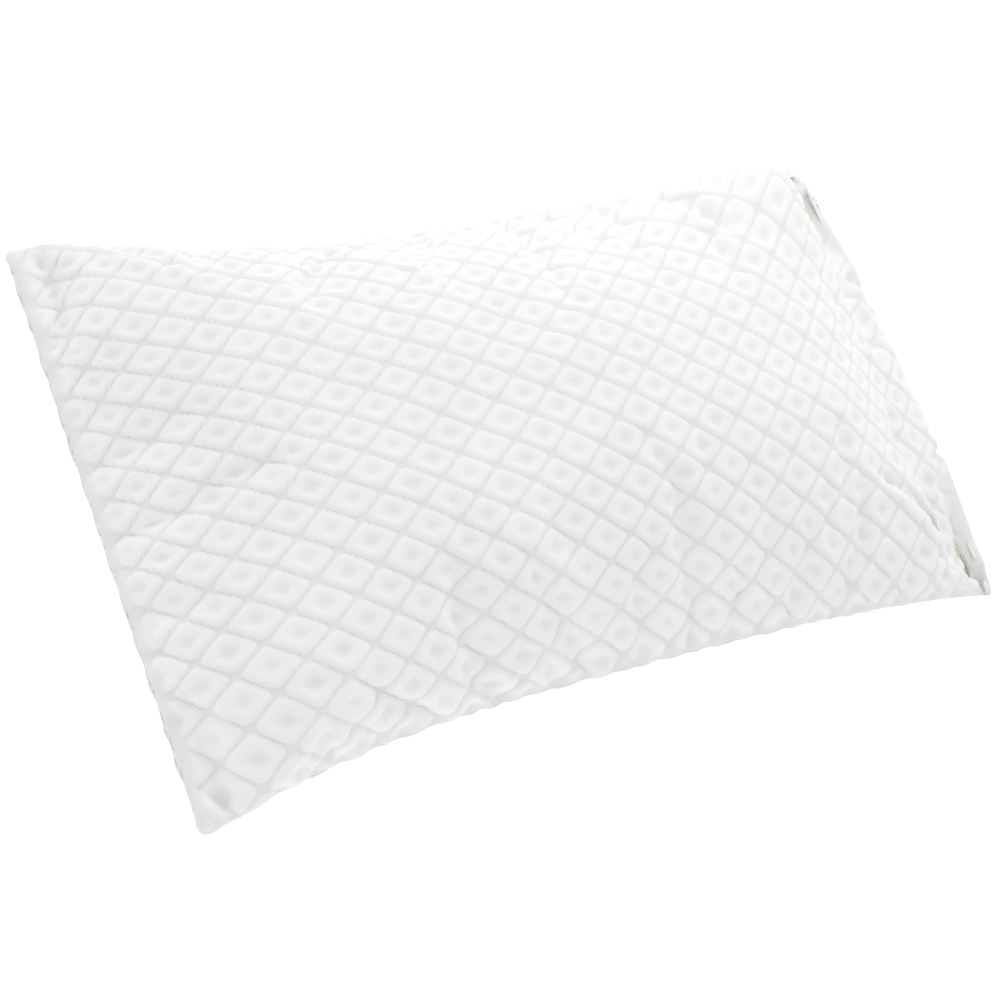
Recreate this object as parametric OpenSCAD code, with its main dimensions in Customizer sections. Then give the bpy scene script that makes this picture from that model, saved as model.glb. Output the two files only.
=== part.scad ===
// Bed pillow: zipped quilted knit cover over a sewn inner case filled with shredded foam.
// +X runs along the pillow to the zipped end, +Z is up, and the origin is under the middle
// of the pillow on the surface that it lies on.

/* [Pillow] */
// Length of the filled pillow, corner to corner
pillow_l = 860; // [760:10:900]
// Width of the filled pillow, corner to corner
pillow_w = 490; // [440:10:520]
// Height of the crown above the surface it lies on
loft = 204; // [180:2:220]
// Height of the side seam above the surface
seam_h = 84; // [76:1:90]
// How far the corners hang below the side seam
corner_droop = 10; // [4:1:14]
// How far each long side is drawn in at its middle
long_side_pull = 30; // [10:1:36]
// How far the plain short end is drawn in at its middle
plain_end_pull = 1; // [0:1:8]
// How far the zip lies inside the two corners at its ends
zip_end_pull = 7; // [4:1:9]

/* [Cover and inner case] */
// Thickness of the quilted knit cover
cover_t = 3; // [2.6:0.1:3.4]
// Thickness of the woven inner case
case_t = 0.8; // [0.6:0.1:0.9]
// Slack between the cover's edge and the inner case's edge
case_slack = 8; // [8:0.5:10]

/* [Zip] */
// Length of the closed row of coils
zip_l = 400; // [320:10:400]
// Height of the slot that the zip sits in
zip_slot_h = 10; // [9.6:0.1:11]
// Width of one zip tape
tape_w = 8.2; // [7:0.1:8.4]
// Length of the slider
slider_l = 11; // [9:0.5:13]
// Length of the pull tab beyond its pivot
pull_l = 20; // [14:1:24]

/* [Mesh] */
// Steps along the length of each fabric shell
steps_l = 32; // [24:2:34]
// Steps across the width of each fabric shell
steps_w = 20; // [16:2:22]

/* [Hidden] */

half_l = pillow_l / 2;
half_w = pillow_w / 2;

// Seam: half the gap between the two cover panels, filled by the overlocked allowance
seam_gap = 0.7;
case_gap = 0.5;
// Least clearance left between two layers
layer_gap = 0.7;

// Crown above, and belly below, the seam plane; the belly is cut off flat by the surface
crown = loft - seam_h;
belly = 1.25 * seam_h;

// Depth of each layer below the outer surface
case_out_d = cover_t + layer_gap;
case_in_d = case_out_d + case_t;
fill_d = case_in_d + layer_gap;

// How far each layer's edge lies inside the outer edge
case_out_inset = cover_t + case_slack;
case_in_inset = case_out_inset + 1;
fill_inset = case_in_inset + 1;

// Zip: places along X, inward from the end of the cover, and heights from the seam plane
zip_end_x = half_l - zip_end_pull;
coil_out = zip_end_x - 5.4;
coil_in = zip_end_x - 7.6;
coil_low = 0.7;
coil_high = 2.8;
tape_t = 0.6;
tape_bend = 4.6;
tape_edge = 0.9;
stop_l = 3;
tape_l = zip_l + 18;
plate_t = 1;
slider_w = 8.4;
slider_y = zip_l / 2 - slider_l / 2 - 1;
pin_r = 0.7;
pin_x = zip_end_x - 2.2;
pull_t = 1;
pull_w = 5.2;
bore_gap = 0.05;
inner_plate_x = coil_in - tape_t - 0.5 - plate_t;
outer_plate_x = coil_out + 0.6;

// Zip slot window along the end, as fractions of the half width
slot_full = 0.87;
slot_none = 0.93;

knit = [0.97, 0.97, 0.96];
case_white = [0.93, 0.94, 0.95];
foam = [0.93, 0.88, 0.72];
nylon = [0.96, 0.96, 0.95];
zinc = [0.78, 0.79, 0.80];

// ---- Shape of the pillow: s runs -1 to 1 along X and t runs -1 to 1 along Y ----

function ease(x) = let (c = min(1, max(0, x))) c * c * (3 - 2 * c);

// The zip keeps its end straight between the two corners, and the plain end is a shallow curve
function end_pull(s, t) = s < 0 ? plain_end_pull * (1 - t * t) : zip_end_pull * (1 - pow(t, 24));

function plan_x(s, t, inset) = (half_l - inset) * s * (1 - end_pull(s, t) / half_l);

function plan_y(s, t, inset) =
    (half_w - inset) * t * (1 - long_side_pull / half_w * (1 - pow(abs(s), 3)));

// Fullness: 0 along the seam and 1 at the crown
function full(s, t) = pow((1 - pow(s, 4)) * (1 - pow(abs(t), 2.4)), 0.7);

// Height of the seam plane, which hangs down only close to the corners of the outer edge
function seam_z(s, t, inset) =
    seam_h - corner_droop * pow(s * (1 - inset / half_l), 8) * pow(t * (1 - inset / half_w), 30);

// Half the opening between the panels' edges, wider along the zip
function slot(s, t) = s <= 0 ? 0
    : (zip_slot_h / 2 - seam_gap) * pow(s, 10)
        * (1 - ease((abs(t) - slot_full) / (slot_none - slot_full)));

// rim is the layer's height at its own edge, and depth is how far it lies inside the outside
function top_point(s, t, inset, rim, depth, open) =
    [plan_x(s, t, inset), plan_y(s, t, inset),
        seam_z(s, t, inset) + rim + open * slot(s, t) + (crown - depth - rim) * full(s, t)];

function bottom_point(s, t, inset, rim, depth, open) =
    [plan_x(s, t, inset), plan_y(s, t, inset),
        max(depth, seam_z(s, t, inset) - rim - open * slot(s, t) - (belly - depth) * full(s, t))];

// Stations crowd towards the edges, where the surface is steepest
stations_l = [for (i = [0 : steps_l]) sin(-90 + 180 * i / steps_l)];
stations_w = [for (j = [0 : steps_w]) sin(-90 + 180 * j / steps_w)];
row = steps_w + 1;
sheet_n = (steps_l + 1) * row;

// Grid indices of the edge, once round, anticlockwise from above
edge = concat([for (i = [0 : steps_l - 1]) i * row],
    [for (j = [0 : steps_w - 1]) steps_l * row + j],
    [for (i = [0 : steps_l - 1]) (steps_l - i) * row + steps_w],
    [for (j = [0 : steps_w - 1]) steps_w - j]);

// Triangles of one grid of points, facing up, or down when flip is true
function grid_faces(base, flip) = [for (i = [0 : steps_l - 1], j = [0 : steps_w - 1])
    let (a = base + i * row + j, b = a + row, c = b + 1, d = a + 1)
        each flip ? [[a, b, c], [a, c, d]] : [[a, c, b], [a, d, c]]];

// Triangles that join the edges of an upper grid and a lower grid
function rim_faces(upper, lower) = [for (k = [0 : len(edge) - 1])
    let (p = edge[k], q = edge[(k + 1) % len(edge)])
        each [[upper + p, upper + q, lower + q], [upper + p, lower + q, lower + p]]];

module shell(upper, lower) {
    polyhedron(points = concat(upper, lower),
        faces = concat(grid_faces(0, false), grid_faces(sheet_n, true), rim_faces(0, sheet_n)));
}

module top_shell(inset_out, inset_in, rim_out, rim_in, depth_out, depth_in, open) {
    shell([for (s = stations_l, t = stations_w) top_point(s, t, inset_out, rim_out, depth_out, open)],
        [for (s = stations_l, t = stations_w) top_point(s, t, inset_in, rim_in, depth_in, open)]);
}

module bottom_shell(inset_out, inset_in, rim_out, rim_in, depth_out, depth_in, open) {
    shell([for (s = stations_l, t = stations_w) bottom_point(s, t, inset_in, rim_in, depth_in, open)],
        [for (s = stations_l, t = stations_w) bottom_point(s, t, inset_out, rim_out, depth_out, open)]);
}

// ---- Fabric shells and filling ----

module cover_top_panel() {
    color(knit) top_shell(0, cover_t, seam_gap + cover_t, seam_gap, 0, cover_t, 1);
}

module cover_bottom_panel() {
    color(knit) bottom_shell(0, cover_t, seam_gap + cover_t, seam_gap, 0, cover_t, 1);
}

module inner_case_top() {
    color(case_white) top_shell(case_out_inset, case_in_inset, case_gap + case_t, case_gap,
        case_out_d, case_in_d, 0);
}

module inner_case_bottom() {
    color(case_white) bottom_shell(case_out_inset, case_in_inset, case_gap + case_t, case_gap,
        case_out_d, case_in_d, 0);
}

module foam_fill() {
    color(foam) shell(
        [for (s = stations_l, t = stations_w) top_point(s, t, fill_inset, 0.1, fill_d, 0)],
        [for (s = stations_l, t = stations_w) bottom_point(s, t, fill_inset, 0.1, fill_d, 0)]);
}

// ---- Seams: a flat band that follows the edge ----

sewn_from = slot_none + 0.01;
// Stations round the edge, from the zip's one end round the three sewn sides to its other end
sewn_path = concat([[1, sewn_from]], [for (t = stations_w) if (t > sewn_from && t < 1) [1, t]],
    [for (i = [0 : steps_l]) [stations_l[steps_l - i], 1]],
    [for (j = [1 : steps_w]) [-1, stations_w[steps_w - j]]],
    [for (i = [1 : steps_l]) [stations_l[i], -1]],
    [for (t = stations_w) if (t < -sewn_from && t > -1) [1, t]], [[1, -sewn_from]]);
closed_path = concat([for (i = [0 : steps_l - 1]) [stations_l[i], -1]],
    [for (j = [0 : steps_w - 1]) [1, stations_w[j]]],
    [for (i = [0 : steps_l - 1]) [stations_l[steps_l - i], 1]],
    [for (j = [0 : steps_w - 1]) [-1, stations_w[steps_w - j]]]);

function band_ring(st, inset_out, inset_in, half_t) =
    let (s = st[0], t = st[1],
        zo = seam_z(s, t, inset_out), zi = seam_z(s, t, inset_in),
        xo = plan_x(s, t, inset_out), yo = plan_y(s, t, inset_out),
        xi = plan_x(s, t, inset_in), yi = plan_y(s, t, inset_in))
    [[xo, yo, zo - half_t], [xo, yo, zo + half_t], [xi, yi, zi + half_t], [xi, yi, zi - half_t]];

module band(path, closed, inset_out, inset_in, half_t) {
    n = len(path);
    turns = closed ? n : n - 1;
    polyhedron(
        points = [for (st = path) each band_ring(st, inset_out, inset_in, half_t)],
        faces = concat(
            [for (k = [0 : turns - 1], c = [0 : 3])
                let (a = 4 * k + c, b = 4 * k + (c + 1) % 4,
                    d = 4 * ((k + 1) % n) + c, e = 4 * ((k + 1) % n) + (c + 1) % 4)
                each [[a, e, d], [a, b, e]]],
            closed ? [] : [[0, 2, 1], [0, 3, 2],
                [4 * n - 4, 4 * n - 3, 4 * n - 2], [4 * n - 4, 4 * n - 2, 4 * n - 1]]));
}

module cover_overlock_seam() {
    color(nylon) band(sewn_path, false, cover_t, case_out_inset - 2, seam_gap - 0.3);
}

module inner_case_seam() {
    color(nylon) band(closed_path, true, case_out_inset - 0.4, case_out_inset + 0.6, case_gap - 0.25);
}

// Blank label caught in the seam at the plain end, lying up against the inside of the cover
module care_label() {
    color(nylon) translate([plain_end_pull + 7 - half_l, -15, seam_h + 1.4])
        rotate([0, 23, 0]) cube([0.4, 30, 17]);
}

// ---- Zip: cross-sections are drawn as [distance along X, height above the seam plane] ----

// Extrudes a cross-section along Y, centred on the zip
module along_zip(l, y = 0) {
    translate([0, y + l / 2, seam_h]) rotate([90, 0, 0]) linear_extrude(l) children();
}

module tape_section() {
    polygon([[coil_in - tape_t, tape_edge], [coil_in, tape_edge], [coil_in, tape_bend],
        [coil_in - 2, tape_edge + tape_w], [coil_in - 2 - tape_t, tape_edge + tape_w],
        [coil_in - tape_t, tape_bend]]);
}

module coil_section() {
    r = (coil_out - coil_in) / 2;
    intersection() {
        union() {
            translate([coil_in + r, coil_high - r]) circle(r, $fn = 32);
            translate([coil_in, coil_low]) square([2 * r, coil_high - coil_low - r]);
        }
        translate([coil_in, coil_low]) square([2 * r, coil_high - coil_low]);
    }
}

// The thread lies just outside the bend of the tape, above the slider's flange
module stitch_section() {
    translate([coil_in + 0.05, tape_bend + 0.1]) square([0.4, 0.8]);
}

module zip_tape_upper() {
    color(nylon) along_zip(tape_l) tape_section();
}

module zip_tape_lower() {
    color(nylon) along_zip(tape_l) mirror([0, 1]) tape_section();
}

module zip_coil_upper() {
    color(nylon) along_zip(zip_l) coil_section();
}

module zip_coil_lower() {
    color(nylon) along_zip(zip_l) mirror([0, 1]) coil_section();
}

// Thread that holds each tape, proud of the tape's outer face and above the slider's flange
module zip_stitching_upper() {
    color(nylon) along_zip(tape_l - 4) stitch_section();
}

module zip_stitching_lower() {
    color(nylon) along_zip(tape_l - 4) mirror([0, 1]) stitch_section();
}

module zip_top_stops() {
    color(zinc) for (side = [0, 1])
        along_zip(stop_l, zip_l / 2 + stop_l / 2 + 0.5) mirror([0, side])
            translate([coil_in + 0.05, tape_edge]) square([1.8, 2.4]);
}

module zip_bottom_stop() {
    color(zinc) along_zip(stop_l, -zip_l / 2 - stop_l / 2 - 0.5)
        translate([coil_in + 0.05, -3.2]) square([1.8, 6.4]);
}

// Slider plate with a round nose at the closing end
module plate(x) {
    nose = slider_w / 2;
    translate([x, slider_y, seam_h]) rotate([90, 0, 90]) linear_extrude(plate_t) {
        translate([slider_l / 2 - nose, 0]) circle(nose, $fn = 48);
        translate([-slider_l / 2, -nose]) square([slider_l - nose, slider_w]);
    }
}

module zip_slider() {
    post_l = 2;
    flange_t = 0.9;
    flange_z = slider_w / 2 - flange_t - 0.1;
    lug_l = 2;
    lug_z = pull_w / 2 + 0.3;
    color(zinc) {
        plate(inner_plate_x);
        plate(outer_plate_x);
        translate([inner_plate_x + plate_t / 2, slider_y + slider_l / 2 - post_l - 0.5, seam_h - 0.4])
            cube([outer_plate_x - inner_plate_x, post_l, 0.8]);
        for (side = [0, 1]) translate([0, 0, seam_h]) mirror([0, 0, side]) {
            translate([coil_in + 0.5, slider_y - slider_l / 2 + 0.1, flange_z])
                cube([outer_plate_x - coil_in, slider_l * 0.6, flange_t]);
            translate([outer_plate_x + plate_t / 2, slider_y - lug_l / 2, lug_z])
                cube([pin_x - outer_plate_x - plate_t / 2, lug_l, flange_t]);
            translate([pin_x, slider_y, lug_z]) cylinder(r = lug_l / 2, h = flange_t, $fn = 32);
        }
        translate([pin_x, slider_y, seam_h - lug_z - flange_t / 2])
            cylinder(r = pin_r, h = 2 * lug_z + flange_t, $fn = 32);
    }
}

module zip_pull() {
    eye_r = 1.35;
    color(zinc) translate([pin_x, slider_y, seam_h]) difference() {
        union() {
            translate([0, 0, -pull_w / 2]) cylinder(r = eye_r, h = pull_w, $fn = 32);
            translate([-pull_t / 2, -pull_l, -pull_w / 2]) cube([pull_t, pull_l, pull_w]);
        }
        cylinder(r = pin_r + bore_gap, h = pull_w + 2, center = true, $fn = 32);
        translate([-pull_t, 4 - pull_l, 0]) rotate([0, 90, 0]) cylinder(r = 1.5, h = 2 * pull_t, $fn = 32);
    }
}

cover_top_panel();
cover_bottom_panel();
cover_overlock_seam();
inner_case_top();
inner_case_bottom();
inner_case_seam();
foam_fill();
care_label();
zip_tape_upper();
zip_tape_lower();
zip_coil_upper();
zip_coil_lower();
zip_stitching_upper();
zip_stitching_lower();
zip_top_stops();
zip_bottom_stop();
zip_slider();
zip_pull();
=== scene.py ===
"""Bed pillow: zipped quilted knit cover over an inner case of shredded foam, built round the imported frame.

Everything is in metres in the frame's own axes: +X runs along the pillow to the zipped end, +Y to the
far long side and +Z up. Cloth places are given as (u, v) on the flat cover, in metres from its middle.
"""

import math

import bpy
import bmesh
import numpy as np
from mathutils import Matrix, Vector


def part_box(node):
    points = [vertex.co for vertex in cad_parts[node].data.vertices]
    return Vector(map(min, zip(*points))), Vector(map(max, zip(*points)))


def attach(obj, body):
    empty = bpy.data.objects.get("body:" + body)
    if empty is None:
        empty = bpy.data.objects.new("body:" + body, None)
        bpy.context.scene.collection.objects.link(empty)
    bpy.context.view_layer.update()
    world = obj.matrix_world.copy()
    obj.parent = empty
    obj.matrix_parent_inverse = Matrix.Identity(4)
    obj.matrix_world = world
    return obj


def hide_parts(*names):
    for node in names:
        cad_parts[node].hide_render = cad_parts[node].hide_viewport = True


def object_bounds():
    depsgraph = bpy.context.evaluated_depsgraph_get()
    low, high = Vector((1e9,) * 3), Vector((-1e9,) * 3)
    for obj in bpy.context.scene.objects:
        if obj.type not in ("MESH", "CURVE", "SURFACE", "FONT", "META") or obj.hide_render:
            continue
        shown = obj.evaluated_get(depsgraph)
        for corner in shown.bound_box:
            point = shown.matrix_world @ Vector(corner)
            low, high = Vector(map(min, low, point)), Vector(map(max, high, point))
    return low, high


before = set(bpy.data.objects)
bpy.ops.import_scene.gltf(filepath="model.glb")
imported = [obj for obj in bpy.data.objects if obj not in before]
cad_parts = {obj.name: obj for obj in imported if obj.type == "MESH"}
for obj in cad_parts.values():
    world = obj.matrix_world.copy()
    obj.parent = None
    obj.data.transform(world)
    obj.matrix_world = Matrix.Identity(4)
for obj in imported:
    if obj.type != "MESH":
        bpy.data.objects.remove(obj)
cad_low, cad_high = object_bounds()

MM = 0.001

# ---- Sizes taken from the frame -------------------------------------------------------------------

HALF_L = cad_high.x
HALF_W = cad_high.y
slider_low, slider_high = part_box("zip_slider")
SEAM_Z = (slider_low.z + slider_high.z) / 2
coil_low, coil_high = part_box("zip_coil_upper")
tape_low, tape_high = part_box("zip_tape_upper")
stitch_low, stitch_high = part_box("zip_stitching_upper")

# Plane of the tapes' outer faces, and how far from the zip's middle the stops are
TAPE_X = 415.35 * MM
STOP_Y = 202 * MM

# ---- The cover --------------------------------------------------------------------------------------

# Flat size of each cover panel, its thickness, and how much smaller the inner case is cut
FLAT_L = 0.914
FLAT_W = 0.508
COVER_T = 3.0 * MM

# How far each side's middle is drawn in when filled, and how that grows towards the plain end.
# The near side is -Y and the far side is +Y.
NEAR_PULL = 31 * MM
NEAR_SKEW = 0.35
FAR_PULL = 31 * MM
FAR_SKEW = 0.45
PLAIN_END_PULL = 0 * MM
ZIP_END_PULL = 7 * MM

# Each corner's direction in X and Y and its radius, and how far the corners droop
CORNERS = ((-1, -1, 15 * MM), (1, -1, 6 * MM), (1, 1, 24 * MM), (-1, 1, 15 * MM))
CORNER_DROOP = 10 * MM
FULL_CORNER_DROOP = 8 * MM

# Zip slot: how far it lifts each panel, the reach of that lift, and the shares of the half width at which
# the slot starts to close and is closed
SLOT_HALF = 4.6 * MM
SLOT_REACH = 24 * MM
SLOT_FULL = 0.87
SLOT_NONE = 0.93

# Distance of the hem's stitches from the zipped end, and the deepest that lumps and creases may sink
HEM = 9 * MM
DEEPEST = 5.5 * MM

# Simulation: spacing of the cloth grid, frames stepped, and the frame by which the rim is drawn in
SIM_STEP = 12 * MM
SIM_FRAMES = 45
DRAW_FRAMES = 15
PRESSURE = 3.0
FILLED_VOLUME = 0.045

# Finished mesh of each panel: quads along and across the outside; the inside is coarser by SPARSE
FINE_L = 400
FINE_W = 220
SPARSE = 5

# How far foam swells the top of the zipped end's far corner, and how far it has left the middle of that end
FULL_CORNER = 35 * MM
SLACK_END = 22 * MM

# Strength of the studio light, and half the floor's width
AMBIENT = 0.88
KEY_POWER = 12.5
FLOOR_HALF = 12

# Depth of the quilting
RELIEF = 2.2 * MM

# How much smaller than the cover's middle surface the inner case and the foam are, along, across and up
CASE_SCALE = (1 - 17 / 430, 1 - 12 / 245, 0.962)
FOAM_SCALE = (1 - 21 / 430, 1 - 16 / 245, 0.945)

# Where the seam allowance stops beside the zip: everything beyond this X and within this Y is left out
ALLOWANCE_END_X = 0.41
ALLOWANCE_END_Y = 0.229

# Care label: points across and along the ribbon, and its flat size
LABEL_ACROSS = 31
LABEL_ALONG = 41
LABEL_FLAT = (0.034, 0.030)


def smooth(x):
    """Eases from 0 to 1 as x goes from 0 to 1."""
    c = np.clip(x, 0, 1)
    return c * c * (3 - 2 * c)


def rim_point(s, t):
    """Where a point of the flat cloth's edge lies on the filled pillow; s and t run -1 to 1."""
    end = PLAIN_END_PULL * (1 - t**2) if s < 0 else ZIP_END_PULL * (1 - t**24)
    side = NEAR_PULL * (1 - NEAR_SKEW * s) if t < 0 else FAR_PULL * (1 - FAR_SKEW * s)
    x = (HALF_L - end) * s
    y = (HALF_W - side * (1 - abs(s) ** 3)) * t
    to_full = math.hypot(HALF_L * (1 - s), HALF_W * (1 - t))
    droop = CORNER_DROOP * s**8 * t**30 + FULL_CORNER_DROOP * math.exp(-((to_full / (90 * MM)) ** 2))
    return x, y, SEAM_Z - droop


# ---- Cloth simulation -------------------------------------------------------------------------------


def link(name, mesh):
    """A new object in the scene."""
    obj = bpy.data.objects.new(name, mesh)
    bpy.context.scene.collection.objects.link(obj)
    return obj


def mesh_object(name, verts, faces):
    """A new smooth-shaded mesh object."""
    mesh = bpy.data.meshes.new(name)
    mesh.from_pydata([tuple(map(float, p)) for p in verts], [], [tuple(f) for f in faces])
    mesh.validate()
    mesh.polygons.foreach_set("use_smooth", [True] * len(mesh.polygons))
    mesh.update()
    return link(name, mesh)


def sewn_cloth():
    """Two flat sheets that share their rim, as a mesh, with the vertex index of each grid point."""
    nu, nv = round(FLAT_L / SIM_STEP), round(FLAT_W / SIM_STEP)
    top = np.zeros((nu + 1, nv + 1), int)
    bottom = np.zeros((nu + 1, nv + 1), int)
    flat, drawn = [], []
    for layer, index in ((1, top), (-1, bottom)):
        for i in range(nu + 1):
            for j in range(nv + 1):
                on_rim = i in (0, nu) or j in (0, nv)
                if layer < 0 and on_rim:
                    index[i, j] = top[i, j]
                    continue
                s, t = 2 * i / nu - 1, 2 * j / nv - 1
                swell = layer * math.sqrt(max(0, (1 - s * s) * (1 - t * t)))
                index[i, j] = len(flat)
                flat.append((s * FLAT_L / 2, t * FLAT_W / 2, SEAM_Z + 12 * MM * swell))
                x, y, z = rim_point(s, t)
                drawn.append((x, y, z + 30 * MM * swell))
    faces = []
    for i in range(nu):
        for j in range(nv):
            for index, turn in ((top, 1), (bottom, -1)):
                corners = [index[i, j], index[i + 1, j], index[i + 1, j + 1], index[i, j + 1]]
                faces.append([int(c) for c in corners[::turn]])
    return flat, drawn, faces, top, bottom


def simulate_cover():
    """Draws the sewn cover in to its filled outline, blows it up over the surface, and returns two grids."""
    flat, drawn, faces, top, bottom = sewn_cloth()
    cloth = mesh_object("sim_cover", flat, faces)
    cloth.shape_key_add(name="Basis")
    key = cloth.shape_key_add(name="drawn_in")
    for point, place in zip(key.data, drawn):
        point.co = place
    key.value = 0
    key.keyframe_insert("value", frame=1)
    key.value = 1
    key.keyframe_insert("value", frame=DRAW_FRAMES)
    rim = set(top[0]) | set(top[-1]) | set(top[:, 0]) | set(top[:, -1])
    cloth.vertex_groups.new(name="rim").add([int(i) for i in rim], 1.0, "REPLACE")

    ground = mesh_object("sim_ground", [(-2, -2, 0), (2, -2, 0), (2, 2, 0), (-2, 2, 0)], [(0, 1, 2, 3)])
    ground.modifiers.new("collision", "COLLISION")
    ground.collision.thickness_outer = 1 * MM
    ground.collision.cloth_friction = 10

    modifier = cloth.modifiers.new("cloth", "CLOTH")
    cloth_set = modifier.settings
    cloth_set.quality = 6
    cloth_set.mass = 0.3
    cloth_set.tension_stiffness = 60
    cloth_set.compression_stiffness = 5
    cloth_set.shear_stiffness = 10
    cloth_set.bending_stiffness = 0.5
    cloth_set.tension_damping = cloth_set.compression_damping = cloth_set.shear_damping = 10
    cloth_set.air_damping = 2
    cloth_set.vertex_group_mass = "rim"
    cloth_set.use_pressure = True
    cloth_set.uniform_pressure_force = PRESSURE
    cloth_set.use_pressure_volume = True
    cloth_set.target_volume = FILLED_VOLUME
    cloth_set.effector_weights.gravity = 0
    modifier.collision_settings.distance_min = 1 * MM
    modifier.point_cache.frame_start = 1
    modifier.point_cache.frame_end = SIM_FRAMES

    for step in range(1, SIM_FRAMES + 1):
        bpy.context.scene.frame_set(step)
    settled = cloth.evaluated_get(bpy.context.evaluated_depsgraph_get()).to_mesh()
    points = np.zeros(len(settled.vertices) * 3)
    settled.vertices.foreach_get("co", points)
    points = points.reshape(-1, 3)
    for obj in (cloth, ground):
        bpy.data.objects.remove(obj)
    bpy.context.scene.frame_set(1)
    return points[top], points[bottom]


# ---- Refining the simulated grids -------------------------------------------------------------------


def spline_matrix(n, samples):
    """Matrix that takes values at n evenly spaced knots to a natural cubic spline's values at the samples."""
    second = np.zeros((n, n))
    system = np.eye(n)
    for k in range(1, n - 1):
        system[k, k - 1 : k + 2] = (1, 4, 1)
        second[k, k - 1 : k + 2] = (6, -12, 6)
    curvature = np.linalg.solve(system, second)
    at = np.clip(np.asarray(samples) * (n - 1), 0, n - 1 - 1e-9)
    k = at.astype(int)
    f = at - k
    eye = np.eye(n)
    low, high = eye[k], eye[k + 1]
    bend_low = ((1 - f) ** 3 - (1 - f)) / 6
    bend_high = (f**3 - f) / 6
    return (low * (1 - f)[:, None] + high * f[:, None]
            + bend_low[:, None] * curvature[k] + bend_high[:, None] * curvature[k + 1])


def resample(grid, along, across):
    """The grid's spline surface at shares 0 to 1 along and across it."""
    a = spline_matrix(grid.shape[0], along)
    b = spline_matrix(grid.shape[1], across)
    return np.einsum("ai,ijk,bj->abk", a, grid, b)


def blur(field, passes):
    """Softens a grid of values, leaving its edges free."""
    for _ in range(passes):
        padded = np.pad(field, ((1, 1), (1, 1)) + ((0, 0),) * (field.ndim - 2), mode="edge")
        field = (4 * field + padded[2:, 1:-1] + padded[:-2, 1:-1] + padded[1:-1, 2:] + padded[1:-1, :-2]) / 8
    return field


def normals(grid, outward):
    """Unit normals of a grid of points, on the outer side."""
    n = np.cross(np.gradient(grid, axis=0), np.gradient(grid, axis=1)) * outward
    return n / np.maximum(np.linalg.norm(n, axis=-1, keepdims=True), 1e-12)


def value_noise(u, v, size, seed):
    """Smooth noise from -1 to 1 with bumps about size across."""
    rng = np.random.default_rng(seed)
    table = rng.uniform(-1, 1, (64, 64))
    x, y = u / size + 31.7, v / size + 17.3
    i, j = np.floor(x).astype(int), np.floor(y).astype(int)
    fx, fy = smooth(x - i), smooth(y - j)

    def corner(a, b):
        return table[(i + a) % 64, (j + b) % 64]

    near = corner(0, 0) * (1 - fx) + corner(1, 0) * fx
    far = corner(0, 1) * (1 - fx) + corner(1, 1) * fx
    return near * (1 - fy) + far * fy


# ---- Relief of the cloth ----------------------------------------------------------------------------


def quilting(u, v):
    """Height, 0 to 1, of the raised diamond rings with a dimple in the middle of each.

    The rows follow the knit, which is stretched and slightly skewed over the filled pillow.
    """
    u = u + 1.5 * MM * value_noise(u, v, 60 * MM, 3)
    v = v + 1.5 * MM * value_noise(u, v, 50 * MM, 4)
    p, q = u / 0.4, v / 0.2
    fan = 0.6 * p * q * (p + q)
    along = u / 0.051 + 0.3 * q - 0.3 * p**2 - 0.4 * p * q - 0.4 * q**2 - fan
    across = v / 0.0367 - 0.14 - 0.2 * p - 0.2 * p**2 - p * q + 0.1 * q**2 - 0.35 * p * q**2 - 0.3 * q**3
    a, b = along + across, along - across
    cell_a, cell_b = np.round(a), np.round(b)
    vary = np.sin(cell_a * 12.99 + cell_b * 78.23) * 0.08
    r = ((2 * np.abs(a - cell_a)) ** 4.5 + (2 * np.abs(b - cell_b)) ** 4.5) ** (1 / 4.5)
    ring = smooth((1.03 - r) / 0.24)
    dimple = np.exp(-((r / (0.42 + 0.6 * vary)) ** 3.2))
    return ring * (1 - (0.85 + vary) * dimple)


def crease(u, v, start, end, width):
    """1 along a line on the cloth, falling to 0 beside it and beyond its ends."""
    along = np.array(end) - np.array(start)
    length = math.hypot(*along)
    du, dv = u - start[0], v - start[1]
    f = (du * along[0] + dv * along[1]) / length**2
    beside = (du * along[1] - dv * along[0]) / length
    beside = beside + 3 * MM * np.sin(5 * f)
    return np.exp(-((beside / width) ** 2)) * smooth(4 * f) * smooth(4 * (1 - f))


def edge_distance(u, v):
    """Distance on the flat cloth to its nearest edge."""
    return np.minimum(FLAT_L / 2 - np.abs(u), FLAT_W / 2 - np.abs(v))


def along_edge(u, v):
    """Distance along the nearest edge, for puckers that run in from the seam."""
    on_end = (FLAT_L / 2 - np.abs(u)) < (FLAT_W / 2 - np.abs(v))
    return np.where(on_end, v + 1.3 * np.sign(u), u + 2.7 * np.sign(v))


def puckers(u, v, seed):
    """Small gathers that the seam's stitches pull into the cloth, dying out within a few centimetres."""
    d = edge_distance(u, v)
    w = along_edge(u, v)
    short = value_noise(w, np.zeros_like(w), 7 * MM, seed)
    broad = value_noise(w, np.zeros_like(w) + 5, 19 * MM, seed + 1)
    return 0.9 * MM * short * np.exp(-d / (9 * MM)) + 1.6 * MM * broad * np.exp(-d / (22 * MM))


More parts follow.
